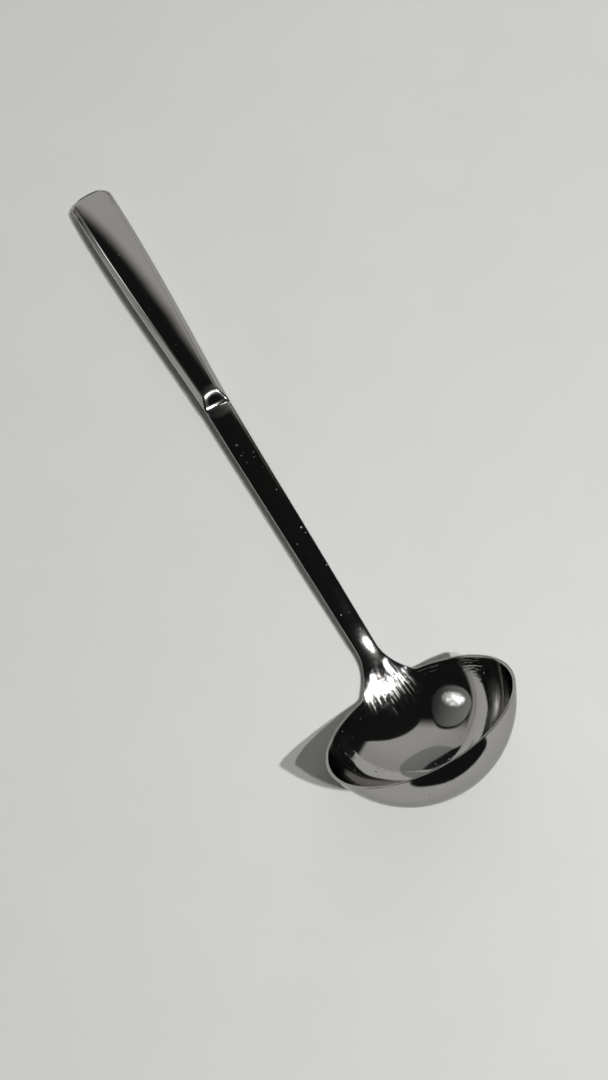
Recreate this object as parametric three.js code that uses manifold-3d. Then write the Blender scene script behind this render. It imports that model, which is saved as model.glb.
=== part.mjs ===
// Soup ladle in polished stainless steel, lying on a table on its bowl and the back of its grip.
// A deep-drawn bowl, a forged stem with a flared neck, and a hollow grip of two pressed shells.
// Millimetres, +Z up, the handle along +Y, the bowl towards -Y, left and right halves alike.

import * as THREE from 'three';
import { mergeVertices } from 'three/addons/utils/BufferGeometryUtils.js';
import Module from 'manifold-3d';

const wasm = await Module();
wasm.setup();

// Bowl
const RIM_RADIUS = 43.3;
const BOWL_DEPTH = 33.8;
const BOWL_WALL = 1.2;
const RIM_EDGE = 0.25;
const RIM_TILT = THREE.MathUtils.degToRad(65);

// Neck, from the bowl's rim to where the stem runs straight
const NECK_HALF_WIDTH = 14;
const FLARE_LENGTH = 18;
const FLARE_POWER = 2.2;
const NECK_LENGTH = 34;
const NECK_TOP = 7.4;
const NECK_SLOPE = 0.04;
const NECK_CURVATURE = 0.014;
const SECTION_TURN_START = 4;
const SECTION_TURN_END = 16;

// Stem
const STEM_LENGTH = 150.4;
const STEM_SWEEP = 50;
const STEM_TOP = 8.4;
const STEM_THICKNESS = 3.6;
const STEM_NARROW_WIDTH = 9.8;
const STEM_STEP_WIDTH = 12.9;
const STEM_EDGE = 1.1;
const STEM_CROWN_RADIUS = 20;
const TANG_LENGTH = 30;
const TANG_THICKNESS = 3;

// Grip
const GRIP_LENGTH = 127.6;
const GRIP_WIDE_WIDTH = 21.3;
const GRIP_WIDE_FROM_END = 16;
const GRIP_SWELL_POWER = 1.25;
const GRIP_END_ROUND = 6;
const GRIP_END_POWER = 2.5;
const GRIP_EDGE_POWER = 6;
const GRIP_FRONT_HEIGHT = 12;
const GRIP_END_DROP = 3;
const GRIP_END_DROP_POWER = 6;
const GRIP_CROWN_RADIUS = 33;
const GRIP_BAND_TOP = 8.5;
const GRIP_BAND_END_DROP = 2.2;
const GRIP_BAND_BOTTOM = 4.4;
const GRIP_PARTING = 5.4;
const STEP_BEVEL = 2.8;
const END_BEVEL = 2.2;
const BACK_ROUND = 4.2;
const SHELL_WALL = 1;
const NOSE_WALL = 1.6;
const NOSE_LIP = 0.6;
const FRONT_NOSE_LENGTH = 6.6;
const BACK_NOSE_LENGTH = 10;
const SCOOP_FOOT = 0.33;
const SCOOP_HOLLOW_RADIUS = 11.111;

// Clearances of the welded joints
const WELD_GAP = 0.3;

// Fineness of the facets
const BOWL_SEGMENTS = 60;
const BOWL_ARC_STEPS = 15;
const NECK_STEPS = 14;
const STEM_STEPS = 12;
const GRIP_STEPS = 12;
const END_STEPS = 8;
const FACE_STEPS = 8;
const SCOOP_STEPS = 8;
const CORNER_STEPS = 2;
const ROUND_STEPS = 4;

// Bowl geometry that the other pieces follow
const sphereOuter = (RIM_RADIUS ** 2 + BOWL_DEPTH ** 2) / (2 * BOWL_DEPTH);
const sphereInner = sphereOuter - BOWL_WALL;
const centreAboveRim = sphereOuter - BOWL_DEPTH;
const rimInner = Math.sqrt(sphereInner ** 2 - centreAboveRim ** 2);
const rimAngle = Math.atan2(RIM_RADIUS, centreAboveRim);
const lowestIsBowl = RIM_TILT < rimAngle;
const rimHeight = lowestIsBowl
  ? sphereOuter - centreAboveRim * Math.cos(RIM_TILT)
  : RIM_RADIUS * Math.sin(RIM_TILT);
const rimBack = RIM_RADIUS * Math.cos(RIM_TILT);

// Stations along the handle, measured from under the rim's centre
const stepAt = rimBack + STEM_LENGTH;
const gripEnd = stepAt + GRIP_LENGTH;
const bowlFront = Math.min(
  centreAboveRim * Math.sin(RIM_TILT) - sphereOuter,
  -rimBack,
);
const middle = (gripEnd + bowlFront) / 2;

// Height between two stations whose heights, slopes and curvatures are given
function easedHeight(y, from, to) {
  const span = to.y - from.y;
  const t = (y - from.y) / span;
  const rise = to.z - from.z;
  const risen = 10 * t ** 3 - 15 * t ** 4 + 6 * t ** 5;
  const leaving = t - 6 * t ** 3 + 8 * t ** 4 - 3 * t ** 5;
  const bending = (t ** 2 - 3 * t ** 3 + 3 * t ** 4 - t ** 5) / 2;
  const arriving = -4 * t ** 3 + 7 * t ** 4 - 3 * t ** 5;
  return from.z + rise * risen
    + span * (from.slope * leaving + to.slope * arriving)
    + span ** 2 * from.curvature * bending;
}

function smooth(t) {
  const s = THREE.MathUtils.clamp(t, 0, 1);
  return s * s * s * (s * (6 * s - 15) + 10);
}

// Rise of a curved section at x, for a curvature of either sign
function sag(curvature, x) {
  return curvature * x * x / (1 + Math.sqrt(1 - (curvature * x) ** 2));
}

// Closed solid through section outlines that have equally many points
function loft(sections) {
  const count = sections[0].length;
  const positions = sections.flat().flatMap((p) => [p.x, p.y, p.z]);
  const index = [];
  for (let ring = 0; ring + 1 < sections.length; ring += 1) {
    for (let k = 0; k < count; k += 1) {
      const next = (k + 1) % count;
      const a = ring * count + k;
      const b = ring * count + next;
      index.push(a, b, a + count, b, b + count, a + count);
    }
  }
  const lastRing = (sections.length - 1) * count;
  for (const [first, turnBack] of [[0, false], [lastRing, true]]) {
    const outline = sections[first / count].map((p) => new THREE.Vector2(p.x, p.z));
    for (const corners of THREE.ShapeUtils.triangulateShape(outline, [])) {
      const clockwise = THREE.ShapeUtils.isClockWise(corners.map((k) => outline[k]));
      if (clockwise !== turnBack) corners.reverse();
      index.push(...corners.map((k) => first + k));
    }
  }
  const geometry = new THREE.BufferGeometry();
  geometry.setAttribute('position', new THREE.Float32BufferAttribute(positions, 3));
  geometry.setIndex(index);
  return geometry;
}

function toSolid(geometry) {
  const bare = geometry.clone();
  bare.deleteAttribute('normal');
  bare.deleteAttribute('uv');
  const merged = mergeVertices(bare, 1e-5);
  return new wasm.Manifold(new wasm.Mesh({
    numProp: 3,
    vertProperties: new Float32Array(merged.attributes.position.array),
    triVerts: new Uint32Array(merged.index.array),
  }));
}

function toGeometry(solid) {
  const mesh = solid.getMesh();
  const geometry = new THREE.BufferGeometry();
  geometry.setAttribute('position', new THREE.BufferAttribute(mesh.vertProperties, 3));
  geometry.setIndex(new THREE.BufferAttribute(mesh.triVerts, 1));
  geometry.computeVertexNormals();
  return geometry;
}

// Side view outline in y and z, extruded across the ladle over the given half-width
function acrossSolid(outline, halfWidth) {
  const geometry = new THREE.ExtrudeGeometry(outline, { depth: 2 * halfWidth, bevelEnabled: false });
  geometry.translate(0, 0, -halfWidth);
  geometry.applyMatrix4(new THREE.Matrix4().makeBasis(
    new THREE.Vector3(0, 1, 0),
    new THREE.Vector3(0, 0, 1),
    new THREE.Vector3(1, 0, 0),
  ));
  return toSolid(geometry);
}

// Bowl: a spherical dish, turned as a lathe profile whose axis stands square to the rim
function makeBowl() {
  const profile = [];
  const outerArc = new THREE.EllipseCurve(
    0, centreAboveRim, sphereOuter, sphereOuter, -Math.PI / 2, rimAngle - Math.PI / 2,
  );
  const innerAngle = Math.atan2(rimInner, centreAboveRim);
  const innerArc = new THREE.EllipseCurve(
    0, centreAboveRim, sphereInner, sphereInner, innerAngle - Math.PI / 2, -Math.PI / 2, true,
  );
  const outerPoints = outerArc.getPoints(BOWL_ARC_STEPS);
  const innerPoints = innerArc.getPoints(BOWL_ARC_STEPS);
  outerPoints[0].x = 0;
  innerPoints.at(-1).x = 0;
  outerPoints.at(-1).y -= RIM_EDGE;
  innerPoints[0].y -= RIM_EDGE;
  profile.push(...outerPoints);
  profile.push(new THREE.Vector2(RIM_RADIUS - RIM_EDGE, 0));
  profile.push(new THREE.Vector2(rimInner + RIM_EDGE, 0));
  profile.push(...innerPoints);
  return new THREE.LatheGeometry(profile, BOWL_SEGMENTS);
}

// Stem: front face height, width and thickness at a station
const rimInnerBack = {
  y: rimInner * Math.cos(RIM_TILT) + WELD_GAP * Math.sin(RIM_TILT),
  z: rimHeight - rimInner * Math.sin(RIM_TILT) + WELD_GAP * Math.cos(RIM_TILT),
  slope: Math.tan(Math.atan2(rimInner, centreAboveRim) - RIM_TILT),
  curvature: NECK_CURVATURE,
};
const neckEnd = { y: rimBack + NECK_LENGTH, z: NECK_TOP, slope: NECK_SLOPE, curvature: 0 };
const sweepEnd = { y: rimBack + NECK_LENGTH + STEM_SWEEP, z: STEM_TOP, slope: 0, curvature: 0 };

function stemFront(y) {
  if (y < neckEnd.y) return easedHeight(y, rimInnerBack, neckEnd);
  if (y < sweepEnd.y) return easedHeight(y, neckEnd, sweepEnd);
  return STEM_TOP;
}

function neckShare(y) {
  return smooth((y - rimInnerBack.y) / (neckEnd.y - rimInnerBack.y));
}

// Share of the change from the bowl's hollow section to the stem's crowned one
function sectionTurn(y) {
  return smooth((y - rimBack - SECTION_TURN_START) / (SECTION_TURN_END - SECTION_TURN_START));
}

function stemHalfWidth(y) {
  const flareEnd = rimBack + FLARE_LENGTH;
  const alongStem = Math.max(0, (y - flareEnd) / (stepAt - flareEnd));
  const bar = THREE.MathUtils.lerp(STEM_NARROW_WIDTH, STEM_STEP_WIDTH, alongStem) / 2;
  const inFlare = Math.max(0, (flareEnd - y) / (flareEnd - rimInnerBack.y));
  return bar + (NECK_HALF_WIDTH - STEM_NARROW_WIDTH / 2) * inFlare ** FLARE_POWER;
}

// Section of the stem across the handle, leaning from the rim's plane to upright along the neck
function stemSection(y, halfWidth, fullThickness) {
  const share = neckShare(y);
  const turned = sectionTurn(y);
  const lean = (Math.PI / 2 - RIM_TILT) * (1 - share);
  const rimThickness = RIM_RADIUS - rimInner;
  const thickness = THREE.MathUtils.lerp(rimThickness, fullThickness, share);
  const frontCurve = THREE.MathUtils.lerp(1 / rimInner, -1 / STEM_CROWN_RADIUS, turned);
  const backCurve = THREE.MathUtils.lerp(1 / RIM_RADIUS, 0, turned);
  const edge = Math.min(STEM_EDGE, thickness * STEM_EDGE / STEM_THICKNESS);
  const flat = halfWidth - edge;
  const outline = [];
  for (let k = 0; k <= FACE_STEPS; k += 1) {
    const x = flat * (2 * k / FACE_STEPS - 1);
    outline.push([x, sag(frontCurve, x)]);
  }
  const frontCorner = sag(frontCurve, flat) - edge;
  const backCorner = sag(backCurve, flat) - thickness + edge;
  for (let k = 1; k <= CORNER_STEPS; k += 1) {
    const turn = (k / CORNER_STEPS) * Math.PI / 2;
    outline.push([flat + edge * Math.sin(turn), frontCorner + edge * Math.cos(turn)]);
  }
  for (let k = 0; k < CORNER_STEPS; k += 1) {
    const turn = (k / CORNER_STEPS) * Math.PI / 2;
    outline.push([flat + edge * Math.cos(turn), backCorner - edge * Math.sin(turn)]);
  }
  for (let k = 0; k <= FACE_STEPS; k += 1) {
    const x = flat * (1 - 2 * k / FACE_STEPS);
    outline.push([x, sag(backCurve, x) - thickness]);
  }
  for (let k = 1; k <= CORNER_STEPS; k += 1) {
    const turn = (k / CORNER_STEPS) * Math.PI / 2;
    outline.push([-flat - edge * Math.sin(turn), backCorner - edge * Math.cos(turn)]);
  }
  for (let k = 0; k < CORNER_STEPS; k += 1) {
    const turn = (k / CORNER_STEPS) * Math.PI / 2;
    outline.push([-flat - edge * Math.cos(turn), frontCorner + edge * Math.sin(turn)]);
  }
  const front = stemFront(y) - (STEM_THICKNESS - fullThickness) / 2;
  return outline.map(([x, up]) => new THREE.Vector3(
    x,
    y - up * Math.sin(lean),
    front + up * Math.cos(lean),
  ));
}

const tangHalfWidth = STEM_STEP_WIDTH / 2 - SHELL_WALL - WELD_GAP;
const tangTop = STEM_TOP - (STEM_THICKNESS - TANG_THICKNESS) / 2;

function makeStem() {
  const sections = [];
  for (let k = 0; k < NECK_STEPS; k += 1) {
    const y = THREE.MathUtils.lerp(rimInnerBack.y, neckEnd.y, k / NECK_STEPS);
    sections.push(stemSection(y, stemHalfWidth(y), STEM_THICKNESS));
  }
  for (let k = 0; k <= STEM_STEPS; k += 1) {
    const y = THREE.MathUtils.lerp(neckEnd.y, stepAt, k / STEM_STEPS);
    sections.push(stemSection(y, stemHalfWidth(y), STEM_THICKNESS));
  }
  sections.push(stemSection(stepAt, tangHalfWidth, TANG_THICKNESS));
  sections.push(stemSection(stepAt + TANG_LENGTH, tangHalfWidth, TANG_THICKNESS));
  return loft(sections);
}

// Grip: plan outline and face heights at a station, drawn in by an inset for the hollow
function endShare(y, inset) {
  const round = GRIP_END_ROUND - inset;
  return Math.max(0, (y - (gripEnd - GRIP_END_ROUND)) / round);
}

function gripHalfWidth(y, inset) {
  const wideAt = gripEnd - GRIP_WIDE_FROM_END;
  const along = Math.min(1, (y - stepAt) / (wideAt - stepAt));
  const swell = Math.sin(along * Math.PI / 2) ** GRIP_SWELL_POWER;
  const side = THREE.MathUtils.lerp(STEM_STEP_WIDTH, GRIP_WIDE_WIDTH, swell) / 2 - inset;
  return side * (1 - endShare(y, inset) ** GRIP_END_POWER) ** (1 / GRIP_END_POWER);
}

// Share of a face's height that is left as the grip's end edge rolls over
function edgeRoll(y, inset) {
  return Math.sqrt(1 - endShare(y, inset) ** GRIP_EDGE_POWER);
}

// Share of the front face's fall towards the grip's end
function endFall(y) {
  return ((y - stepAt) / GRIP_LENGTH) ** GRIP_END_DROP_POWER;
}

// Upper half section: upright band, bevel, crowned front face
function frontSection(y, inset) {
  const along = (y - stepAt) / GRIP_LENGTH;
  const half = gripHalfWidth(y, inset);
  const turnIn = inset * Math.tan(Math.PI / 8);
  const fullBevel = THREE.MathUtils.lerp(STEP_BEVEL, END_BEVEL, along) - inset + turnIn;
  const bevel = Math.min(fullBevel, half / 2);
  const bandTop = GRIP_BAND_TOP - GRIP_BAND_END_DROP * endFall(y) - turnIn;
  const face = GRIP_FRONT_HEIGHT - GRIP_END_DROP * endFall(y) - inset;
  const crown = bandTop + (face - bandTop) * edgeRoll(y, inset);
  const crownRise = sag(1 / GRIP_CROWN_RADIUS, half - bevel);
  const crease = crown - Math.min(crownRise, (crown - bandTop) / 2);
  const outline = [[-half, GRIP_PARTING + WELD_GAP / 2], [-half, bandTop]];
  for (let k = 0; k <= FACE_STEPS; k += 1) {
    const share = 2 * k / FACE_STEPS - 1;
    outline.push([(half - bevel) * share, crown - (crown - crease) * share * share]);
  }
  outline.push([half, bandTop], [half, GRIP_PARTING + WELD_GAP / 2]);
  return outline.map(([x, z]) => new THREE.Vector3(x, y, z));
}

// Lower half section: upright band, rounded edges, flat back that lies on the table
function backSection(y, inset) {
  const half = gripHalfWidth(y, inset);
  const round = Math.min(BACK_ROUND - inset, half / 2);
  const depth = (GRIP_BAND_BOTTOM - inset) * edgeRoll(y, inset);
  const right = [[half, GRIP_PARTING - WELD_GAP / 2]];
  for (let k = 0; k <= ROUND_STEPS; k += 1) {
    const turn = (k / ROUND_STEPS) * Math.PI / 2;
    const x = half - round + round * Math.cos(turn);
    right.push([x, GRIP_BAND_BOTTOM - depth * Math.sin(turn)]);
  }
  const left = right.map(([x, z]) => [-x, z]).reverse();
  return [...right, ...left].map(([x, z]) => new THREE.Vector3(x, y, z));
}

function gripLoft(section, inset) {
  const start = stepAt + WELD_GAP;
  const roundStart = gripEnd - GRIP_END_ROUND;
  const roundLength = GRIP_END_ROUND - inset;
  const sections = [];
  for (let k = 0; k < GRIP_STEPS; k += 1) {
    sections.push(section(THREE.MathUtils.lerp(start, roundStart, k / GRIP_STEPS), inset));
  }
  for (let k = 0; k < END_STEPS; k += 1) {
    const turn = (k / END_STEPS) * Math.PI / 2;
    sections.push(section(roundStart + roundLength * Math.sin(turn), inset));
  }
  return toSolid(loft(sections));
}

// Rise of the front scoop at x, hollowed across but carrying on the stem's crown at its lip
function frontScoop(x) {
  return x * x / (2 * SCOOP_HOLLOW_RADIUS) + sag(-1 / STEM_CROWN_RADIUS, x);
}

function flatScoop() {
  return 0;
}

// Share of the nose's rise, which curves out of its lip over the foot and then runs straight
function noseRise(t) {
  const risen = t < SCOOP_FOOT ? t * t / (2 * SCOOP_FOOT) : t - SCOOP_FOOT / 2;
  return risen / (1 - SCOOP_FOOT / 2);
}

// Nose cut: everything beyond the ramp that runs from the lip on the stem to the grip's face
function noseCut(nose, shift) {
  const start = stepAt + WELD_GAP + shift;
  const rise = nose.face - nose.lip;
  const halfWidth = STEM_STEP_WIDTH;
  const far = nose.face + rise + nose.scoop(halfWidth);
  const cutSection = (y, height) => {
    const outline = [[-halfWidth, far], [halfWidth, far]];
    for (let k = 0; k <= 2 * FACE_STEPS; k += 1) {
      const x = halfWidth * (1 - k / FACE_STEPS);
      outline.push([x, height + nose.scoop(x)]);
    }
    if (rise < 0) outline.reverse();
    return outline.map(([x, z]) => new THREE.Vector3(x, y, z));
  };
  const sections = [cutSection(stepAt - nose.length, nose.lip)];
  for (let k = 0; k <= SCOOP_STEPS; k += 1) {
    const t = k / SCOOP_STEPS;
    sections.push(cutSection(start + nose.length * t, nose.lip + rise * noseRise(t)));
  }
  return toSolid(loft(sections));
}

function tangRoom() {
  const front = tangTop + WELD_GAP;
  const back = tangTop - TANG_THICKNESS - WELD_GAP;
  const outline = new THREE.Shape();
  outline.moveTo(stepAt, back);
  outline.lineTo(stepAt + TANG_LENGTH, back);
  outline.lineTo(stepAt + TANG_LENGTH, front);
  outline.lineTo(stepAt, front);
  outline.closePath();
  return acrossSolid(outline, tangHalfWidth + WELD_GAP);
}

function makeShell(section, nose) {
  const skin = gripLoft(section, 0).subtract(noseCut(nose, 0));
  const hollow = gripLoft(section, SHELL_WALL).subtract(noseCut(nose, NOSE_WALL));
  return toGeometry(skin.subtract(hollow).subtract(tangRoom()));
}

function steel(colour, roughness) {
  return new THREE.MeshStandardMaterial({ color: colour, roughness, metalness: 1 });
}

const frontNose = {
  lip: tangTop + WELD_GAP + NOSE_LIP,
  face: GRIP_FRONT_HEIGHT,
  length: FRONT_NOSE_LENGTH,
  scoop: frontScoop,
};
const backNose = {
  lip: tangTop - TANG_THICKNESS - WELD_GAP - NOSE_LIP,
  face: 0,
  length: BACK_NOSE_LENGTH,
  scoop: flatScoop,
};

const bowl = new THREE.Mesh(makeBowl(), steel(0x8f8d89, 0.08));
bowl.name = 'bowl';
bowl.rotation.x = Math.PI / 2 - RIM_TILT;
bowl.position.z = rimHeight;

const stem = new THREE.Mesh(makeStem(), steel(0x8a8885, 0.1));
stem.name = 'stem';

const frontShell = new THREE.Mesh(
  makeShell(frontSection, frontNose),
  steel(0x908d88, 0.1),
);
frontShell.name = 'grip_front_shell';

const backShell = new THREE.Mesh(
  makeShell(backSection, backNose),
  steel(0x8c8a86, 0.12),
);
backShell.name = 'grip_back_shell';

// Origin on the table, under the middle of the ladle's length
const ladle = new THREE.Group();
ladle.add(bowl, stem, frontShell, backShell);
ladle.position.y = -middle;

export default ladle;
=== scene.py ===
# Soup ladle in mirror-polished steel, lying on a pale table and seen from nearly overhead.
import math

import bmesh
import bpy
import numpy as np
from mathutils import Matrix, Vector


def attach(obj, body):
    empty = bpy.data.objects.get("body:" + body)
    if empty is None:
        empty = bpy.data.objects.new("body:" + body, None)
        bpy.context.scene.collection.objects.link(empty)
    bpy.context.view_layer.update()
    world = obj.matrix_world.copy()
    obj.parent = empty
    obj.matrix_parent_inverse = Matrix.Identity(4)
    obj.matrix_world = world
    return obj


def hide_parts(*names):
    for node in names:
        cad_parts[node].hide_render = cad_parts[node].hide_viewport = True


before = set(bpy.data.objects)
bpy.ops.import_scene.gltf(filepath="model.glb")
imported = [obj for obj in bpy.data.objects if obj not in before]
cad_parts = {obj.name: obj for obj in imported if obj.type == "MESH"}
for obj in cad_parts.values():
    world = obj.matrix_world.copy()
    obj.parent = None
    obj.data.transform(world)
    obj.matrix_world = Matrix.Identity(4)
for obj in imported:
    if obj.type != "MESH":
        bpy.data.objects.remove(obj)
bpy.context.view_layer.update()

MM = 0.001
TINY = 1e-6
UP = Vector((0, 0, 1))

# Bowl, in millimetres as in the CAD source
RIM_RADIUS = 43.3
BOWL_DEPTH = 33.8
BOWL_WALL = 1.2
RIM_TILT = math.radians(65)

# Neck and stem
NECK_HALF_WIDTH = 14
FLARE_LENGTH = 18
FLARE_POWER = 2.2
NECK_LENGTH = 34
NECK_TOP = 7.4
NECK_SLOPE = 0.04
NECK_CURVATURE = 0.014
STEM_LENGTH = 150.4
STEM_SWEEP = 50
STEM_TOP = 8.4
STEM_THICKNESS = 3.6
STEM_NARROW_WIDTH = 9.8
STEM_STEP_WIDTH = 12.9
STEM_CROWN_RADIUS = 20

# Grip
GRIP_LENGTH = 127.6
GRIP_WIDE_WIDTH = 21.3
GRIP_WIDE_FROM_END = 16
GRIP_SWELL_POWER = 1.25
GRIP_END_ROUND = 6
GRIP_END_POWER = 2.5
GRIP_EDGE_POWER = 6
GRIP_FRONT_HEIGHT = 12
GRIP_END_DROP = 3
GRIP_END_DROP_POWER = 6
GRIP_CROWN_RADIUS = 33
GRIP_BAND_TOP = 8.5
GRIP_BAND_END_DROP = 2.2
GRIP_BAND_BOTTOM = 4.4
GRIP_PARTING = 5.4
STEP_BEVEL = 2.8
END_BEVEL = 2.2
BACK_ROUND = 4.2
FRONT_NOSE_LENGTH = 6.6
BACK_NOSE_LENGTH = 10
SCOOP_FOOT = 0.33
SCOOP_HOLLOW_RADIUS = 11.111

# What welding and polishing leave: soft edges, a low swelling, an earlier turn and a flatter crown
RIM_ROUND = 0.6
RIM_SWELL = 0.15
STEM_ROUND = 1.8
CREASE_ROUND = 0.6
BAND_ROUND = 0.7
NOSE_ROUND = 1.2
NECK_SWELL = 0.6
NECK_SWELL_AT = 20
NECK_SWELL_REACH = 16
NECK_SWELL_HALF_WIDTH = 9
NECK_SWELL_SIDE_POWER = 4
SECTION_TURN_START = 2
SECTION_TURN_END = 12
STEM_STEP_CROWN_RADIUS = 32

# Length of the stem's end that the grip hides
STEM_HIDDEN_END = 3

# Fineness of the meshes
DISH_RINGS = 18
DISH_SECTORS = 72
DISH_BOTTOM_SHARE = 0.02
NECK_COLUMNS = 4
NECK_ROWS = 14
STEM_ROWS = 26
SMOOTHING = 2
NOSE_STATIONS = 40
BODY_STATIONS = 60
END_STATIONS = 24
LAST_END_TURN = math.radians(88)
CROWN_POINTS = 14
BEND_POINTS = 6
BEVEL_POINTS = 8
BACK_CORNER_POINTS = 12
BACK_POINTS = 8
SHARP_ANGLE = math.radians(35)

# Bowl geometry that the other pieces follow
sphere_outer = (RIM_RADIUS**2 + BOWL_DEPTH**2) / (2 * BOWL_DEPTH)
sphere_inner = sphere_outer - BOWL_WALL
centre_above_rim = sphere_outer - BOWL_DEPTH
rim_inner = math.sqrt(sphere_inner**2 - centre_above_rim**2)
rim_height = sphere_outer - centre_above_rim * math.cos(RIM_TILT)
rim_back = RIM_RADIUS * math.cos(RIM_TILT)
opening = np.array([0, math.sin(RIM_TILT), math.cos(RIM_TILT)])
uphill = np.array([0, -math.cos(RIM_TILT), math.sin(RIM_TILT)])
across = np.array([1, 0, 0])
sphere_centre = np.array([0, 0, rim_height]) + opening * centre_above_rim

# Stations along the handle, measured from under the rim's centre
step_at = rim_back + STEM_LENGTH
grip_end = step_at + GRIP_LENGTH
bowl_front = centre_above_rim * math.sin(RIM_TILT) - sphere_outer
middle = (grip_end + bowl_front) / 2


def lerp(a, b, t):
    return a + (b - a) * t


def smooth(t):
    s = min(max(t, 0), 1)
    return s**3 * (s * (6 * s - 15) + 10)


def sag(curvature, x):
    """Rise of a curved section at x, for a curvature of either sign."""
    return curvature * x * x / (1 + math.sqrt(1 - (curvature * x) ** 2))


def eased_height(y, start, end):
    """Height between two stations given as (y, z, slope, curvature)."""
    y0, z0, slope0, curve0 = start
    y1, z1, slope1, _ = end
    span = y1 - y0
    t = (y - y0) / span
    risen = 10 * t**3 - 15 * t**4 + 6 * t**5
    leaving = t - 6 * t**3 + 8 * t**4 - 3 * t**5
    bending = (t**2 - 3 * t**3 + 3 * t**4 - t**5) / 2
    arriving = -4 * t**3 + 7 * t**4 - 3 * t**5
    by_slopes = span * (slope0 * leaving + slope1 * arriving)
    by_curvature = span**2 * curve0 * bending
    return z0 + (z1 - z0) * risen + by_slopes + by_curvature


def soft_min(a, b, width):
    """The lower of two heights, with the edge between them rounded off."""
    h = np.clip(0.5 + 0.5 * (b - a) / width, 0, 1)
    return b + (a - b) * h - width * h * (1 - h)


def to_row(points):
    """Points measured from under the rim's centre, in millimetres, to the row frame in metres."""
    shifted = np.asarray(points, float) - np.array([0, middle, 0])
    return shifted * MM


def row_point(x, y, z):
    """One such point as a vector."""
    return Vector(to_row([x, y, z]))


bowl_at = row_point(*sphere_centre)

# Bowl and stem as one polished skin, parted at the weld


def dish_point(radius, polar, turn):
    """On the bowl's sphere: polar from its deepest point, turn from the handle's side."""
    outward = across * math.sin(turn) - uphill * math.cos(turn)
    return sphere_centre + radius * (outward * math.sin(polar) - opening * math.cos(polar))


rim_inner_back = (
    rim_inner * math.cos(RIM_TILT),
    rim_height - rim_inner * math.sin(RIM_TILT),
    math.tan(math.atan2(rim_inner, centre_above_rim) - RIM_TILT),
    NECK_CURVATURE,
)
neck_end = (rim_back + NECK_LENGTH, NECK_TOP, NECK_SLOPE, 0)
sweep_end = (rim_back + NECK_LENGTH + STEM_SWEEP, STEM_TOP, 0, 0)


def stem_front(y):
    if y < neck_end[0]:
        return eased_height(y, rim_inner_back, neck_end)
    if y < sweep_end[0]:
        return eased_height(y, neck_end, sweep_end)
    return STEM_TOP


def stem_half_width(y):
    flare_end = rim_back + FLARE_LENGTH
    along = max(0, (y - flare_end) / (step_at - flare_end))
    bar = lerp(STEM_NARROW_WIDTH, STEM_STEP_WIDTH, min(along, 1)) / 2
    in_flare = max(0, (flare_end - y) / (flare_end - rim_inner_back[0]))
    return bar + (NECK_HALF_WIDTH - STEM_NARROW_WIDTH / 2) * in_flare**FLARE_POWER


def neck_share(y):
    return smooth((y - rim_inner_back[0]) / (neck_end[0] - rim_inner_back[0]))


def section_turn(y):
    """Share of the change from the bowl's hollow section to the stem's crowned one."""
    return smooth((y - rim_back - SECTION_TURN_START) / (SECTION_TURN_END - SECTION_TURN_START))


def neck_swell(y, x):
    """Weld metal left standing on the neck's front, ground to a low swelling."""
    away = abs(y - rim_inner_back[0] - NECK_SWELL_AT) / NECK_SWELL_REACH
    aside = min(1, abs(x) / NECK_SWELL_HALF_WIDTH)
    return NECK_SWELL * smooth(1 - away) * (1 - aside**NECK_SWELL_SIDE_POWER)


def stem_crown(y):
    """Curvature of the stem's front, polished flatter towards the step."""
    along = smooth((y - neck_end[0]) / (step_at - neck_end[0]))
    return lerp(1 / STEM_CROWN_RADIUS, 1 / STEM_STEP_CROWN_RADIUS, along)


def stem_round(y):
    return lerp(RIM_ROUND, STEM_ROUND, neck_share(y))


def stem_point(y, x, is_front):
    """On the stem's front or back face; sections lean from the rim's plane to upright along the neck."""
    share = neck_share(y)
    turn = section_turn(y)
    lean = (math.pi / 2 - RIM_TILT) * (1 - share)
    if is_front:
        up = sag(lerp(1 / rim_inner, -stem_crown(y), turn), x) + neck_swell(y, x)
    else:
        thickness = lerp(RIM_RADIUS - rim_inner, STEM_THICKNESS, share)
        up = sag(lerp(1 / RIM_RADIUS, 0, turn), x) - thickness
    return np.array([x, y - up * math.sin(lean), stem_front(y) + up * math.cos(lean)])


class Skin:
    """Vertices and faces of a mesh in the making, each face marked with the piece that it goes to."""

    def __init__(self):
        self.points = []
        self.faces = []
        self.pieces = []

    def add(self, point):
        self.points.append(point)
        return len(self.points) - 1

    def face(self, corners, piece):
        self.faces.append(corners)
        self.pieces.append(piece)

    def strip(self, one, other, pieces):
        for k, piece in enumerate(pieces):
            self.face([one[k], one[k + 1], other[k + 1], other[k]], piece)


BOWL, STEM = 0, 1


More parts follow.
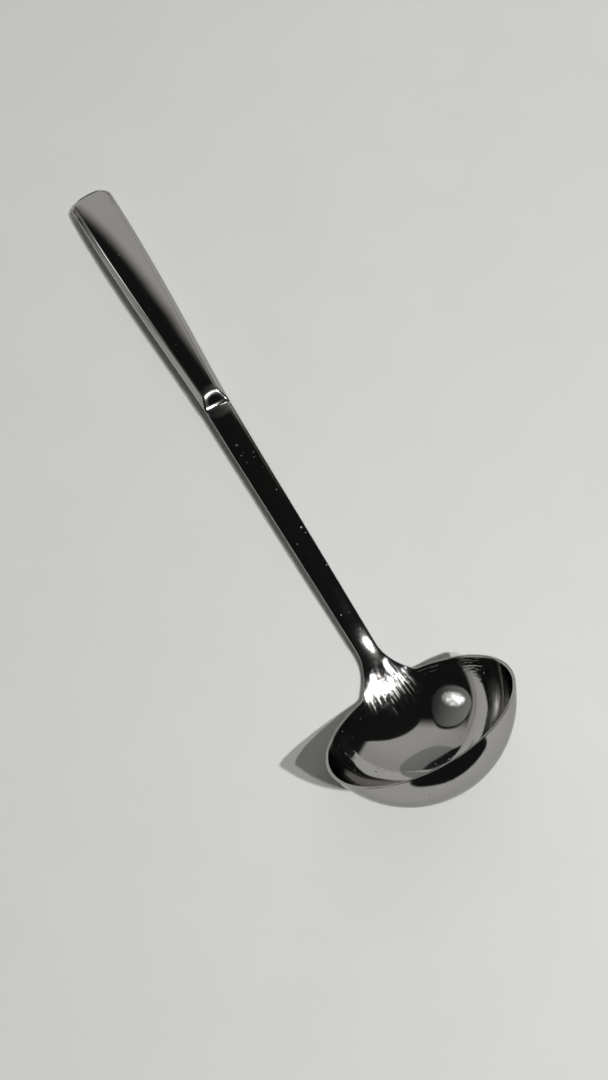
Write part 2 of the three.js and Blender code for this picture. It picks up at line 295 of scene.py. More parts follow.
def polished_skin():
    """Cage of the bowl and the stem: a front and a back sheet, joined by the edge that runs round both."""
    skin = Skin()
    lip_angle = {
        True: math.atan2(rim_inner, centre_above_rim),
        False: math.atan2(RIM_RADIUS, centre_above_rim),
    }
    radius = {True: sphere_inner, False: sphere_outer}
    neck_turn = math.asin((NECK_HALF_WIDTH - RIM_ROUND) / rim_inner)
    last_column = 2 * NECK_COLUMNS
    neck_turns = np.linspace(-neck_turn, neck_turn, last_column + 1)
    free = DISH_SECTORS - last_column
    turns = [*neck_turns, *np.linspace(neck_turn, 2 * math.pi - neck_turn, free + 1)[1:-1]]

    # Stations of the rows that carry the neck's columns on to the step
    first = rim_inner_back[0] + 2 * RIM_ROUND
    stations = [*np.linspace(first, neck_end[0], NECK_ROWS, endpoint=False)]
    stations += [*np.linspace(neck_end[0], step_at + STEM_HIDDEN_END, STEM_ROWS)]

    rim_ring = {}
    rows = {}
    for is_front in (True, False):
        edge_polar = lip_angle[is_front] - RIM_ROUND / radius[is_front]
        polars = edge_polar * np.linspace(DISH_BOTTOM_SHARE, 1, DISH_RINGS)
        rings = [[skin.add(dish_point(radius[is_front], p, t)) for t in turns] for p in polars]
        skin.face(rings[0], BOWL)
        for inner, outer in zip(rings, rings[1:]):
            skin.strip(inner + inner[:1], outer + outer[:1], [BOWL] * len(turns))
        rim_ring[is_front] = rings[-1]
        row = rings[-1][: last_column + 1]
        rows[is_front] = []
        for y in stations:
            flat = stem_half_width(y) - stem_round(y)
            xs = flat * np.linspace(-1, 1, last_column + 1)
            new_row = [skin.add(stem_point(y, x, is_front)) for x in xs]
            skin.strip(row, new_row, [STEM] * last_column)
            rows[is_front].append(new_row)
            row = new_row

    # Edge that runs up the neck's left side, round the rim and back up the right side
    rim_order = [0, *range(len(turns) - 1, last_column - 1, -1)]
    corner_turn = math.asin(NECK_HALF_WIDTH / rim_inner)

    def edge_loop(is_front):
        left = [stem_point(y, -stem_half_width(y), is_front) for y in reversed(stations)]
        right = [stem_point(y, stem_half_width(y), is_front) for y in stations]
        rim_turns = [turns[k] for k in rim_order]
        rim_turns[0], rim_turns[-1] = -corner_turn, corner_turn
        lip = lip_angle[is_front] - RIM_ROUND / 2 / radius[is_front]
        swell = 0 if is_front else RIM_SWELL
        rim = [dish_point(radius[is_front] + swell, lip, t) for t in rim_turns]
        return np.array([*left, *rim, *right])

    def sheet_loop(is_front):
        left = [row[0] for row in reversed(rows[is_front])]
        right = [row[-1] for row in rows[is_front]]
        return [*left, *(rim_ring[is_front][k] for k in rim_order), *right]

    front_edge = edge_loop(True)
    back_edge = edge_loop(False)
    middle_edge = (front_edge + back_edge) / 2
    on_rim = slice(len(stations), len(stations) + len(rim_order))
    middle_edge[on_rim] += opening * RIM_ROUND / 2
    loops = [sheet_loop(True)]
    loops += [[skin.add(p) for p in edge] for edge in (front_edge, middle_edge, back_edge)]
    loops += [sheet_loop(False)]
    side = [STEM] * len(stations)
    pieces = [*side, *([BOWL] * (len(rim_order) - 1)), *side]
    for one, other in zip(loops, loops[1:]):
        skin.strip(one, other, pieces)

    # End that is hidden in the grip
    right_end = [loop[-1] for loop in loops[1:-1]]
    left_end = [loop[0] for loop in reversed(loops[1:-1])]
    skin.face([*rows[True][-1], *right_end, *reversed(rows[False][-1]), *left_end], STEM)
    return skin


def turn_faces_out(mesh):
    solid = bmesh.new()
    solid.from_mesh(mesh)
    bmesh.ops.recalc_face_normals(solid, faces=solid.faces)
    solid.to_mesh(mesh)
    solid.free()


def link(name, data):
    item = bpy.data.objects.new(name, data)
    bpy.context.scene.collection.objects.link(item)
    return item


def smoothed(skin):
    """The skin after subdivision: points, vertex normals, faces and the piece that each face goes to."""
    mesh = bpy.data.meshes.new("skin")
    mesh.from_pydata(to_row(skin.points).tolist(), [], skin.faces)
    mesh.polygons.foreach_set("material_index", skin.pieces)
    turn_faces_out(mesh)
    for _ in (BOWL, STEM):
        mesh.materials.append(None)
    holder = link("skin", mesh)
    modifier = holder.modifiers.new("smoothing", "SUBSURF")
    modifier.levels = SMOOTHING
    graph = bpy.context.evaluated_depsgraph_get()
    fine = bpy.data.meshes.new_from_object(holder.evaluated_get(graph))
    points = [v.co.copy() for v in fine.vertices]
    normals = [v.normal.copy() for v in fine.vertices]
    faces = [list(p.vertices) for p in fine.polygons]
    pieces = [p.material_index for p in fine.polygons]
    bpy.data.objects.remove(holder)
    bpy.data.meshes.remove(fine)
    bpy.data.meshes.remove(mesh)
    return points, normals, faces, pieces


def open_edge(faces):
    """The vertices round the hole of an open mesh, in order."""
    sides = [(a, b) for corners in faces for a, b in zip(corners, corners[1:] + corners[:1])]
    known = set(sides)
    after = {b: a for a, b in sides if (b, a) not in known}
    loop = [next(iter(after))]
    while after[loop[-1]] != loop[0]:
        loop.append(after[loop[-1]])
    return loop


def parted(name, skin_data, wanted):
    """One piece of the skin, closed at the weld, keeping the whole skin's normals so that no seam shows."""
    points, normals, faces, pieces = skin_data
    own = [f for f, piece in zip(faces, pieces) if piece == wanted]
    weld = open_edge(own)
    leftmost = min(range(len(weld)), key=lambda k: points[weld[k]].x)
    weld = weld[leftmost:] + weld[:leftmost]
    for k in range(len(weld) // 2):
        corners = [weld[k], weld[k + 1], weld[-k - 1], weld[-k]]
        own.append(list(dict.fromkeys(corners)))
    used = sorted({k for f in own for k in f})
    place = {k: n for n, k in enumerate(used)}
    mesh = bpy.data.meshes.new(name)
    mesh.from_pydata([points[k] for k in used], [], [[place[k] for k in f] for f in own])
    mesh.shade_smooth()
    mesh.normals_split_custom_set_from_vertices([normals[k] for k in used])
    return link(name, mesh)


# Grip as two shells that meet at an unseen seam


def end_share(y):
    return max(0, (y - (grip_end - GRIP_END_ROUND)) / GRIP_END_ROUND)


def grip_half_width(y):
    wide_at = grip_end - GRIP_WIDE_FROM_END
    along = min(1, max(0, y - step_at) / (wide_at - step_at))
    swell = math.sin(along * math.pi / 2) ** GRIP_SWELL_POWER
    side = lerp(STEM_STEP_WIDTH, GRIP_WIDE_WIDTH, swell) / 2
    return side * (1 - end_share(y) ** GRIP_END_POWER) ** (1 / GRIP_END_POWER)


def edge_roll(y):
    return math.sqrt(1 - end_share(y) ** GRIP_EDGE_POWER)


def grip_stations():
    nose_end = step_at + BACK_NOSE_LENGTH
    round_start = grip_end - GRIP_END_ROUND
    nose = np.linspace(step_at, nose_end, NOSE_STATIONS, endpoint=False)
    body = np.linspace(nose_end, round_start, BODY_STATIONS, endpoint=False)
    turn = np.linspace(0, LAST_END_TURN, END_STATIONS)
    end = round_start + GRIP_END_ROUND * np.sin(turn) ** (2 / GRIP_END_POWER)
    return [*nose, *body, *end]


def bend(start, corner, end):
    """Points of a rounded corner."""
    t = np.linspace(0, 1, BEND_POINTS)[:, None]
    return (1 - t) ** 2 * start + 2 * t * (1 - t) * corner + t**2 * end


def toward(a, b, distance):
    """The point that lies a distance from a towards b, at most half-way."""
    gap = np.linalg.norm(b - a)
    return a + (b - a) * min(0.5, distance / max(gap, TINY))


def front_half(y):
    """Right half of the front shell's section, from its crown to the seam."""
    along = (y - step_at) / GRIP_LENGTH
    half = grip_half_width(y)
    bevel = min(lerp(STEP_BEVEL, END_BEVEL, along), half / 2)
    end_drop = along**GRIP_END_DROP_POWER
    band_top = GRIP_BAND_TOP - GRIP_BAND_END_DROP * end_drop
    face = GRIP_FRONT_HEIGHT - GRIP_END_DROP * end_drop
    crown = band_top + (face - band_top) * edge_roll(y)
    flat = half - bevel
    fall = min(sag(1 / GRIP_CROWN_RADIUS, flat), (crown - band_top) / 2)
    crease = np.array([flat, crown - fall])
    shoulder = np.array([half, band_top])
    seam = np.array([half, GRIP_PARTING])
    reach = 1 - min(0.5, CREASE_ROUND / max(flat, TINY))
    xs = np.linspace(0, flat * reach, CROWN_POINTS)
    top = np.column_stack([xs, crown - fall * (xs / max(flat, TINY)) ** 2])
    crease_bend = bend(top[-1], crease, toward(crease, shoulder, CREASE_ROUND))
    above_shoulder = toward(shoulder, crease, BAND_ROUND)
    below_shoulder = toward(shoulder, seam, BAND_ROUND)
    shoulder_bend = bend(above_shoulder, shoulder, below_shoulder)
    slope = lerp(crease_bend[-1], shoulder_bend[0], np.linspace(0, 1, BEVEL_POINTS)[1:-1, None])
    band = lerp(shoulder_bend[-1], seam, np.array([[0.5], [1]]))
    return np.vstack([top, crease_bend[1:], slope, shoulder_bend, band])


def nose_share(y, length):
    """Share of the nose's rise, which curves out of its lip over the foot and then runs straight."""
    t = (y - step_at) / length
    risen = t**2 / (2 * SCOOP_FOOT) if t < SCOOP_FOOT else t - SCOOP_FOOT / 2
    return risen / (1 - SCOOP_FOOT / 2)


def front_ramp(y, x):
    """Height of the front scoop, hollowed across but carrying on the stem's crown at its lip."""
    lip = STEM_TOP + sag(-1 / STEM_CROWN_RADIUS, x) + x**2 / (2 * SCOOP_HOLLOW_RADIUS)
    return lip + (GRIP_FRONT_HEIGHT - STEM_TOP) * nose_share(y, FRONT_NOSE_LENGTH)


def front_section(y):
    half = front_half(y)
    half[:, 1] = [soft_min(z, front_ramp(y, x), NOSE_ROUND) for x, z in half]
    left = half[:0:-1] * [-1, 1]
    return np.vstack([left, half])


def back_half(y):
    """Right half of the back shell's section, from the seam to the middle of its flat back."""
    half = grip_half_width(y)
    round_width = min(BACK_ROUND, half / 2)
    depth = GRIP_BAND_BOTTOM * edge_roll(y)
    turn = np.linspace(0, math.pi / 2, BACK_CORNER_POINTS)
    corner = np.column_stack([
        half - round_width + round_width * np.cos(turn),
        GRIP_BAND_BOTTOM - depth * np.sin(turn),
    ])
    band = np.array([[half, GRIP_PARTING], [half, lerp(GRIP_PARTING, GRIP_BAND_BOTTOM, 0.5)]])
    inwards = np.linspace(1, 0, BACK_POINTS)[1:]
    back = corner[-1] * np.column_stack([inwards, np.ones(len(inwards))])
    return np.vstack([band, corner, back])


def back_section(y):
    half = back_half(y)
    ramp = (STEM_TOP - STEM_THICKNESS) * (1 - nose_share(y, BACK_NOSE_LENGTH))
    half[:, 1] = [-soft_min(-z, -ramp, NOSE_ROUND) for _, z in half]
    left = half[-2::-1] * [-1, 1]
    return np.vstack([half, left])


def lofted(name, section):
    """Closed piece through sections across the handle."""
    rings = []
    points = []
    for y in grip_stations():
        outline = section(y)
        rings.append(list(range(len(points), len(points) + len(outline))))
        points += [[x, y, z] for x, z in outline]
    faces = []
    for one, other in zip(rings, rings[1:]):
        for k in range(len(one)):
            faces.append([one[k - 1], one[k], other[k], other[k - 1]])
    faces += [rings[0], rings[-1]]
    mesh = bpy.data.meshes.new(name)
    mesh.from_pydata(to_row(points).tolist(), [], faces)
    turn_faces_out(mesh)
    mesh.shade_smooth()
    mesh.set_sharp_from_angle(angle=SHARP_ANGLE)
    return link(name, mesh)


# Materials


class Nodes:
    """Short ways to add nodes to one node tree."""

    def __init__(self, tree):
        self.tree = tree
        tree.nodes.clear()

    def add(self, kind, inputs=(), **settings):
        node = self.tree.nodes.new(kind)
        for key, value in settings.items():
            setattr(node, key, value)
        for key, value in dict(inputs).items():
            self.feed(node.inputs[key], value)
        return node

    def feed(self, socket, value):
        if isinstance(value, bpy.types.NodeSocket):
            self.tree.links.new(value, socket)
        else:
            socket.default_value = value

    def math(self, operation, a, b=0.0):
        return self.add("ShaderNodeMath", {0: a, 1: b}, operation=operation).outputs[0]

    def product(self, a, b):
        return self.math("MULTIPLY", a, b)

    def total(self, start, *terms):
        """A start value plus terms given as (value, weight)."""
        for value, weight in terms:
            start = self.math("ADD", start, self.product(value, weight))
        return start

    def vector(self, operation, a, b):
        return self.add("ShaderNodeVectorMath", {0: a, 1: b}, operation=operation)

    def dot(self, vector, axis):
        return self.vector("DOT_PRODUCT", vector, axis).outputs["Value"]

    def distance(self, vector, point):
        return self.vector("DISTANCE", vector, point).outputs["Value"]

    def pair(self, x, y):
        return self.add("ShaderNodeCombineXYZ", {0: x, 1: y}).outputs[0]

    def ramp(self, value, low, high, to_low=0.0, to_high=1.0):
        values = {"Value": value, "From Min": low, "From Max": high, "To Min": to_low, "To Max": to_high}
        return self.add("ShaderNodeMapRange", values, interpolation_type="SMOOTHSTEP").outputs[0]

    def noise(self, vector, scale, detail=2.0, roughness=0.5):
        values = {"Vector": vector, "Scale": scale, "Detail": detail, "Roughness": roughness}
        return self.add("ShaderNodeTexNoise", values).outputs[0]

    def stretched(self, vector, scale):
        return self.add("ShaderNodeMapping", {"Vector": vector, "Scale": scale}).outputs[0]

    def mix(self, share, a, b):
        node = self.add("ShaderNodeMix", {"Factor": share, "A": a, "B": b}, data_type="RGBA")
        return node.outputs["Result"]

    def bump(self, height, strength):
        """Normals for heights given in millimetres."""
        values = {"Strength": strength, "Distance": MM, "Height": height}
        return self.add("ShaderNodeBump", values).outputs[0]

    def place(self):
        return self.add("ShaderNodeTexCoord").outputs["Object"]

    def surface(self, shader):
        self.add("ShaderNodeOutputMaterial", {"Surface": shader.outputs[0]})


def new_material(name):
    """A material and the ways to add its nodes."""
    material = bpy.data.materials.new(name)
    material.use_nodes = True
    return material, Nodes(material.node_tree)


# Polish of the steel
STEEL_COLOUR = (0.47, 0.462, 0.447)
SMUDGE_SHADE = 0.9
SMUDGE_COVER = 0.5
EDGE_TINT = (0.6, 0.6, 0.6, 1)
POLISH_ROUGHNESS = 0.055

# Roughness that each kind of mark adds
SMUDGE_ROUGHNESS = 0.03
SCRATCH_ROUGHNESS = 0.05
SPECK_ROUGHNESS = 0.3
STREAK_ROUGHNESS = 0.3
BLENDED_ROUGHNESS = 0.07
SCOOP_ROUGHNESS = 0.13

# Heights of the marks, in millimetres
SCRATCH_HEIGHT = 0.004
STREAK_HEIGHT = 0.03
HAMMER_HEIGHT = 0.03

# Scales of the noise, for each metre
RIPPLE_SCALE = 26
SMUDGE_SCALE = 45
SPECK_PATCH_SCALE = 90
RAGGED_SCALE = 160
SPECK_SCALE = 330
HAMMER_SCALE = 450

# Noise levels between which the marks set in, and the largest speck as a share of its cell
STREAK_LEVELS = (0.48, 0.68)
SCRATCH_LEVELS = (0.62, 0.74)
SMUDGE_LEVELS = (0.45, 0.75)
SPECK_LEVELS = (0.44, 0.72)
LARGEST_SPECK = 0.17

# Scratches in each metre across and along, for the bowl's swirls and for the handle
SWIRL = (220, 420, 420)
LENGTHWISE = (900, 45, 900)

# Grinding marks at the weld, in millimetres, and streaks of the fan in a radian and in a metre
FAN_ORIGIN_PAST_NECK = 20
FAN_STREAKS_ACROSS = 130
FAN_STREAKS_ALONG = 90
WELD_INSIDE_RIM = 3
WELD_HEIGHT = 3
GROUND_WHOLE = 12
GROUND_GONE = 23
GROUND_RAGGED = 12
BLENDED_WHOLE = 6
BLENDED_GONE = 14

# Duller polish at the scoop, in millimetres from the lip or from the scoop's middle
FOOT_BEFORE_LIP = 1
FOOT_WHOLE = 1.5
FOOT_GONE = 2.5
SCOOP_PAST_LIP = 2.6
SCOOP_RISE = 1
SCOOP_BRIGHT = 2.6
SCOOP_DULL = 3.6
SCOOP_EDGE_DULL = 7
SCOOP_EDGE_GONE = 9.5

# Rings on the bowl's inner wall: counts for a metre of depth and for a radian, depths in millimetres
RINGS_IN_DEPTH = 1100
RINGS_ROUND = 5
RINGS_WHOLE = 4
RINGS_GONE = 14


def ground_neck(n, place, x, y):
    """Shares of the streaks that fan out over the weld, of the ground patch and of the blended swelling."""
    fan_origin = (neck_end[0] + FAN_ORIGIN_PAST_NECK - middle) * MM
    fan_angle = n.math("ARCTAN2", x, n.math("SUBTRACT", fan_origin, y))
    fan = n.pair(n.product(fan_angle, FAN_STREAKS_ACROSS), n.product(y, FAN_STREAKS_ALONG))
    marks = n.ramp(n.noise(fan, 1.0, detail=3.0, roughness=0.6), *STREAK_LEVELS)
    weld = row_point(0, rim_inner_back[0] - WELD_INSIDE_RIM, WELD_HEIGHT)
    ragged = n.total(n.distance(place, weld), (n.noise(place, RAGGED_SCALE), GROUND_RAGGED * MM))
    ground = n.ramp(ragged, GROUND_GONE * MM, GROUND_WHOLE * MM)
    swell = row_point(0, rim_inner_back[0] + NECK_SWELL_AT, NECK_TOP)
    blended = n.ramp(n.distance(place, swell), BLENDED_GONE * MM, BLENDED_WHOLE * MM)
    return n.product(marks, ground), ground, blended


def dull_scoop(n, place, y):
    """Share of duller polish where the wheel could not reach: the scoop's foot and the edge round it."""
    lip = (step_at - middle) * MM
    into_foot = n.ramp(y, lip - FOOT_BEFORE_LIP * MM, lip)
    out_of_foot = n.ramp(y, lip + FOOT_GONE * MM, lip + FOOT_WHOLE * MM)
    away = n.distance(place, row_point(0, step_at + SCOOP_PAST_LIP, STEM_TOP + SCOOP_RISE))
    into_edge = n.ramp(away, SCOOP_BRIGHT * MM, SCOOP_DULL * MM)
    out_of_edge = n.ramp(away, SCOOP_EDGE_GONE * MM, SCOOP_EDGE_DULL * MM)
    return n.math("MAXIMUM", n.product(into_foot, out_of_foot), n.product(into_edge, out_of_edge))


def wheel_rings(n, place, x):
    """Heights of the rings that a polishing wheel left round the bowl's inner wall, below the rim."""
    from_rim = n.vector("SUBTRACT", place, row_point(0, 0, rim_height)).outputs[0]
    depth = n.dot(from_rim, opening)
    turn = n.math("ARCTAN2", x, n.dot(from_rim, uphill))
    wheel = n.pair(n.product(depth, RINGS_IN_DEPTH), n.product(turn, RINGS_ROUND))
    inside = n.math("LESS_THAN", n.distance(place, bowl_at), (sphere_inner + BOWL_WALL / 2) * MM)
    inner_wall = n.product(inside, n.ramp(depth, -RINGS_GONE * MM, -RINGS_WHOLE * MM))
    return n.product(n.noise(wheel, 1.0), inner_wall)


def water_specks(n, place):
    """Round specks of dried water, in some places only."""
    cells = n.add("ShaderNodeTexVoronoi", {"Vector": place, "Scale": SPECK_SCALE})
    size = n.ramp(n.noise(place, SPECK_PATCH_SCALE), *SPECK_LEVELS, 0.0, LARGEST_SPECK)
    return n.math("LESS_THAN", cells.outputs["Distance"], size)


def polished_steel(name, scratch_stretch, waviness, ring_depth=0.0):
    """Mirror polish with smudges, water specks and fine scratches, ground by hand round the weld."""
    material, n = new_material(name)
    place = n.place()
    x, y, _ = n.add("ShaderNodeSeparateXYZ", {0: place}).outputs
    streaks, ground, blended = ground_neck(n, place, x, y)
    scratches = n.noise(n.stretched(place, scratch_stretch), 1.0, detail=3.0, roughness=0.6)
    smudged = n.ramp(n.noise(place, SMUDGE_SCALE, detail=4.0, roughness=0.55), *SMUDGE_LEVELS)
    hammering = n.noise(place, HAMMER_SCALE, detail=1.0)
    hammered = n.product(hammering, n.math("MAXIMUM", ground, blended))
    ripple = n.noise(place, RIPPLE_SCALE, detail=1.0)

    clean = (*STEEL_COLOUR, 1)
    shaded = (*(SMUDGE_SHADE * c for c in STEEL_COLOUR), 1)
    rough = n.total(
        POLISH_ROUGHNESS,
        (smudged, SMUDGE_ROUGHNESS),
        (n.ramp(scratches, *SCRATCH_LEVELS), SCRATCH_ROUGHNESS),
        (water_specks(n, place), SPECK_ROUGHNESS),
        (streaks, STREAK_ROUGHNESS),
        (blended, BLENDED_ROUGHNESS),
        (dull_scoop(n, place, y), SCOOP_ROUGHNESS),
    )
    height = n.total(
        n.product(ripple, waviness),
        (scratches, SCRATCH_HEIGHT),
        (streaks, STREAK_HEIGHT),
        (hammered, HAMMER_HEIGHT),
        (wheel_rings(n, place, x), ring_depth),
    )
    n.surface(n.add("ShaderNodeBsdfPrincipled", {
        "Metallic": 1.0,
        "Specular Tint": EDGE_TINT,
        "Base Color": n.mix(n.product(smudged, SMUDGE_COVER), clean, shaded),
        "Roughness": rough,
        "Normal": n.bump(height, 1.0),
    }))
    return material


TABLE_COLOURS = ((0.625, 0.622, 0.61, 1), (0.655, 0.652, 0.64, 1))
TABLE_ROUGHNESS = 0.6
TABLE_MOTTLE_SCALE = 30
TABLE_GRAIN_SCALE = 900
TABLE_GRAIN_STRENGTH = 0.06


def table_material():
    """Plain pale table with a faint mottle and a fine grain."""
    material, n = new_material("pale_table")
    place = n.place()
    n.surface(n.add("ShaderNodeBsdfPrincipled", {
        "Roughness": TABLE_ROUGHNESS,
        "Base Color": n.mix(n.noise(place, TABLE_MOTTLE_SCALE, detail=5.0), *TABLE_COLOURS),
        "Normal": n.bump(n.noise(place, TABLE_GRAIN_SCALE), TABLE_GRAIN_STRENGTH),
    }))
    return material


# Pieces

skin_data = smoothed(polished_skin())
bowl = parted("bowl_polished", skin_data, BOWL)
stem = parted("stem_polished", skin_data, STEM)
grip_front = lofted("grip_front_polished", front_section)
grip_back = lofted("grip_back_polished", back_section)

bowl.data.materials.append(polished_steel("bowl_steel", SWIRL, waviness=2.5, ring_depth=0.08))
stem.data.materials.append(polished_steel("stem_steel", LENGTHWISE, waviness=0.5))
grip_steel = polished_steel("grip_steel", LENGTHWISE, waviness=0.2)
grip_front.data.materials.append(grip_steel)
grip_back.data.materials.append(grip_steel)

for piece, node, slot in (
    (bowl, "bowl", "bowl_steel"),
    (stem, "stem", "stem_steel"),
    (grip_front, "grip_front_shell", "grip_steel"),
    (grip_back, "grip_back_shell", "grip_steel"),
):
    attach(piece, "root")
    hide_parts(node)

# Table

TABLE_SIZE = 6.0
SQUARE = ((-1, -1), (1, -1), (1, 1), (-1, 1))


def flat_sheet(name, side, rise):
    """One four-cornered face about its own middle, given its half-sides as vectors."""
    mesh = bpy.data.meshes.new(name)
    mesh.from_pydata([side * a + rise * b for a, b in SQUARE], [], [(0, 1, 2, 3)])
    return link(name, mesh)


table = flat_sheet("table", Vector((TABLE_SIZE / 2, 0, 0)), Vector((0, TABLE_SIZE / 2, 0)))
table.data.materials.append(table_material())

# Camera

CAMERA_AT = Vector((-0.0420, -0.1094, 0.4602))
CAMERA_AIM = Vector((0.0023, -0.0365, 0.0))
CAMERA_UP = Vector((0.511, 0.840, 0.182))
FOCAL_IN_FRAME_HEIGHTS = 1000 / 1080
SENSOR_SIZE = 36
NEAREST_SEEN = 0.01

camera = link("camera", bpy.data.cameras.new("camera"))
backward = (CAMERA_AT - CAMERA_AIM).normalized()
right = CAMERA_UP.cross(backward).normalized()
upward = backward.cross(right)
turned = Matrix((right, upward, backward)).transposed().to_4x4()
camera.matrix_world = Matrix.Translation(CAMERA_AT) @ turned
camera.data.sensor_width = SENSOR_SIZE
camera.data.lens = SENSOR_SIZE * FOCAL_IN_FRAME_HEIGHTS
camera.data.clip_start = NEAREST_SEEN
bpy.context.scene.camera = camera

# Directions in the picture: azimuths run from its right towards its top

picture_right = Vector((right.x, right.y, 0)).normalized()
picture_up = Vector((-picture_right.y, picture_right.x, 0))


def azimuth(degrees):
    """Level direction at an azimuth."""
    turn = math.radians(degrees)
    return picture_right * math.cos(turn) + picture_up * math.sin(turn)


def polar_direction(degrees, from_overhead):
    """Direction at an azimuth and an angle from overhead, both in degrees."""
    lean = math.radians(from_overhead)
    return azimuth(degrees) * math.sin(lean) + UP * math.cos(lean)


def sky_direction(towards_right, towards_up):
    """Direction at angles from overhead, in degrees, towards the picture's right and top."""
    degrees = math.degrees(math.atan2(towards_up, towards_right))
    return polar_direction(degrees, math.hypot(towards_right, towards_up))


# Lamps: two small ones side by side and a weak wide fill that the steel doesn't reflect

LAMP_DISTANCE = 2.2
LAMP_RADIUS = 0.03
LAMP_AIM = Vector((0, -0.06, 0.02))
FILL_DISTANCE = 1.6
FILL_SIZE = 2.0
FILL_WATTS = 3.0

for name, direction, watts in (
    ("main_lamp", sky_direction(26.2, -7.2), 114),
    ("second_lamp", sky_direction(19.0, -7.3), 52),
):
    lamp = link(name, bpy.data.lights.new(name, "POINT"))
    lamp.data.energy = watts
    lamp.data.shadow_soft_size = LAMP_RADIUS
    lamp.location = LAMP_AIM + direction * LAMP_DISTANCE

fill_direction = sky_direction(-8, 15)
fill = link("fill_light", bpy.data.lights.new("fill_light", "AREA"))
fill.data.shape = "DISK"
fill.data.size = FILL_SIZE
fill.data.energy = FILL_WATTS
fill.location = fill_direction * FILL_DISTANCE
fill.rotation_euler = fill_direction.to_track_quat("Z", "Y").to_euler()
fill.visible_glossy = False

# Room: dark, with a grey wall beyond the handle and a grey strip along the horizon on that side

DARK = 0.012
ROOM_TINT = (1.0, 0.985, 0.955, 1)
LIGHT_SIDE_AZIMUTH = 141.7
WALL_AZIMUTH = 94
WALL_STRENGTHS = (0.45, 0.53)
HORIZON_STRENGTH = 0.42

# Where its parts fade in and out, by how far a ray points that way or upwards
LIGHT_SIDE_EDGE = (-0.02, 0.05)
WALL_SIDE_EDGE = (0.4, 0.58)
WALL_RISE = (0.1, 0.55)
HORIZON_TOP_EDGE = (0.16, 0.04)


def room_world():
    world = bpy.data.worlds.new("studio")
    world.use_nodes = True
    n = Nodes(world.node_tree)
    ray = n.add("ShaderNodeTexCoord").outputs["Generated"]
    upwards = n.dot(ray, UP)
    light_side = n.ramp(n.dot(ray, azimuth(LIGHT_SIDE_AZIMUTH)), *LIGHT_SIDE_EDGE)
    wall = n.product(n.ramp(n.dot(ray, azimuth(WALL_AZIMUTH)), *WALL_SIDE_EDGE), light_side)
    wall_light = n.product(wall, n.ramp(upwards, *WALL_RISE, *WALL_STRENGTHS))
    horizon = n.product(n.ramp(upwards, *HORIZON_TOP_EDGE), light_side)
    light = n.math("MAXIMUM", wall_light, n.product(horizon, HORIZON_STRENGTH))
    values = {"Color": ROOM_TINT, "Strength": n.math("ADD", light, DARK)}
    background = n.add("ShaderNodeBackground", values)
    n.add("ShaderNodeOutputWorld", {"Surface": background.outputs[0]})
    return world


bpy.context.scene.world = room_world()

# Cards that only the steel reflects, as painted reflections: dark and grey boards round the bowl, a grey
# screen and a lamp shade

# Corner powers of their outlines
ROUND = 2
SQUARISH = 4
SQUARE_CORNERED = 8

# Scale of the mottled card's noise, for each metre, and the levels between which it sets in
MOTTLE_SCALE = 7
MOTTLE_LEVELS = (0.4, 0.6)

on_table = Vector((bowl_at.x, bowl_at.y, 0))


def glow_strength(nodes, spot, up_card, strengths, mottle):
    """Strength from a card's foot to its top, weaker in patches by the share of mottle."""
    foot, top = strengths
    if foot == top:
        return foot
    level = nodes.ramp(up_card, -1.0, 1.0, foot, top)
    if not mottle:
        return level
    noise = nodes.noise(spot, MOTTLE_SCALE, detail=3.0)
    return nodes.product(level, nodes.ramp(noise, *MOTTLE_LEVELS, 1.0 - mottle, 1.0))


def card(name, middle_at, facing, half_sizes, strengths, corner_power, softness, mottle=0.0):
    """Card lit by itself that fades out at its edge; a lower corner power makes it rounder."""
    half_width, half_height = half_sizes
    side = facing.cross(UP).normalized()
    rise = side.cross(facing)
    board = flat_sheet(name, side * half_width, rise * half_height)
    board.location = middle_at
    board.visible_camera = False
    board.visible_diffuse = False
    board.visible_shadow = False
    material, nodes = new_material(name)
    spot = nodes.place()
    across_card = nodes.math("DIVIDE", nodes.dot(spot, side), half_width)
    up_card = nodes.math("DIVIDE", nodes.dot(spot, rise), half_height)
    far = nodes.math("POWER", across_card, corner_power)
    far = nodes.math("ADD", far, nodes.math("POWER", up_card, corner_power))
    keep = nodes.ramp(far, 1.0, 1.0 - softness)
    clear = nodes.add("ShaderNodeBsdfTransparent")
    strength = glow_strength(nodes, spot, up_card, strengths, mottle)
    glow = nodes.add("ShaderNodeEmission", {"Strength": strength})
    nodes.surface(nodes.add("ShaderNodeMixShader", {0: keep, 1: clear.outputs[0], 2: glow.outputs[0]}))
    board.data.materials.append(material)


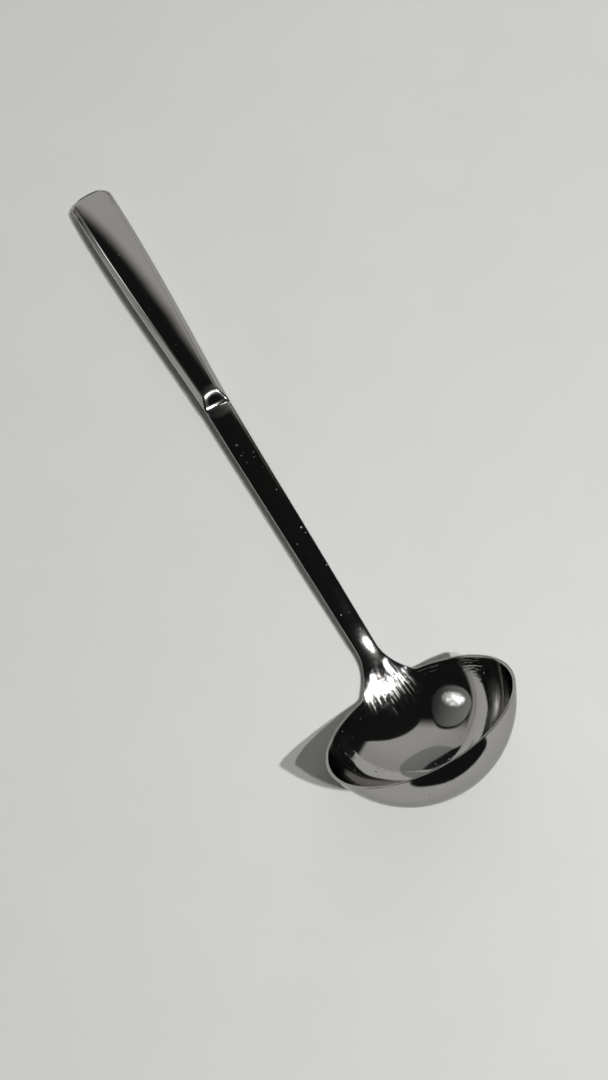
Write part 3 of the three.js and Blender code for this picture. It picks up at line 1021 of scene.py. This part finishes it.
def room_board(
    name, degrees, distances, heights, half_width,
    aside=0, corner_power=SQUARE_CORNERED, softness=0.3, strength=DARK,
):
    """Board that runs away from the bowl, foot first, shifted aside towards lower azimuths."""
    start = on_table + azimuth(degrees - 90) * aside
    foot = start + azimuth(degrees) * distances[0] + UP * heights[0]
    top = start + azimuth(degrees) * distances[1] + UP * heights[1]
    facing = (top - foot).cross(azimuth(degrees).cross(UP)).normalized()
    half_sizes = (half_width, (top - foot).length / 2)
    card(name, (foot + top) / 2, facing, half_sizes, (strength, strength), corner_power, softness)


def round_card(name, direction, distance, half_angles, strengths, softness, mottle=0.0):
    """Round card that faces the bowl, as wide and high as two angles, in degrees, seen from there."""
    half_sizes = [distance * math.tan(math.radians(a)) for a in half_angles]
    card(name, bowl_at + direction * distance, direction, half_sizes, strengths, ROUND, softness, mottle)


room_board("dark_front", -59, distances=(0.2, 0.2), heights=(0, 0.6), half_width=0.13)
# Painted dark reflection: a strip lying on the pale table right beside the bowl
room_board(
    "dark_right_near", 49.5, distances=(0.046, 0.2), heights=(0, 0.01), half_width=0.028, aside=0.028
)
# Painted dark reflection: a low board rising off the pale table beside the bowl
room_board("dark_right", 49.5, distances=(0.2, 1.2), heights=(0, 0.12), half_width=0.14, aside=0.14)
# Painted dark reflection: a low board on the pale table beyond the bowl, along the handle
room_board(
    "dark_beyond", 121, distances=(0.32, 0.85), heights=(0, 0.1), half_width=0.15,
    corner_power=SQUARISH, softness=0.5,
)
room_board(
    "dark_above", 37.5, distances=(-0.02, 0.6), heights=(0.24, 0.26), half_width=0.075,
    aside=-0.075, softness=0.6,
)
# Painted darker reflection of the pale table: a grey strip lying on it
room_board(
    "table_darkened_in_reflection", 83, distances=(0.02, 0.6), heights=(0.001, 0.003), half_width=0.03,
    aside=-0.03, softness=0.2, strength=0.3,
)
round_card(
    "grey_beyond", polar_direction(108, 90), distance=2.0, half_angles=(26, 21),
    strengths=(0.2, 0.3), softness=0.12,
)
round_card(
    "screen_surround", polar_direction(168, 61), distance=2.3, half_angles=(21, 23),
    strengths=(DARK, DARK), softness=0.25,
)
round_card(
    "grey_screen", polar_direction(168, 61), distance=2.0, half_angles=(17.5, 22.5),
    strengths=(0.31, 0.04), softness=0.12,
)
round_card(
    "lamp_shade", polar_direction(172, 62), distance=1.9, half_angles=(7.5, 12.5),
    strengths=(3.4, 1.6), softness=0.9, mottle=0.6,
)

bpy.context.scene.view_settings.view_transform = "Standard"
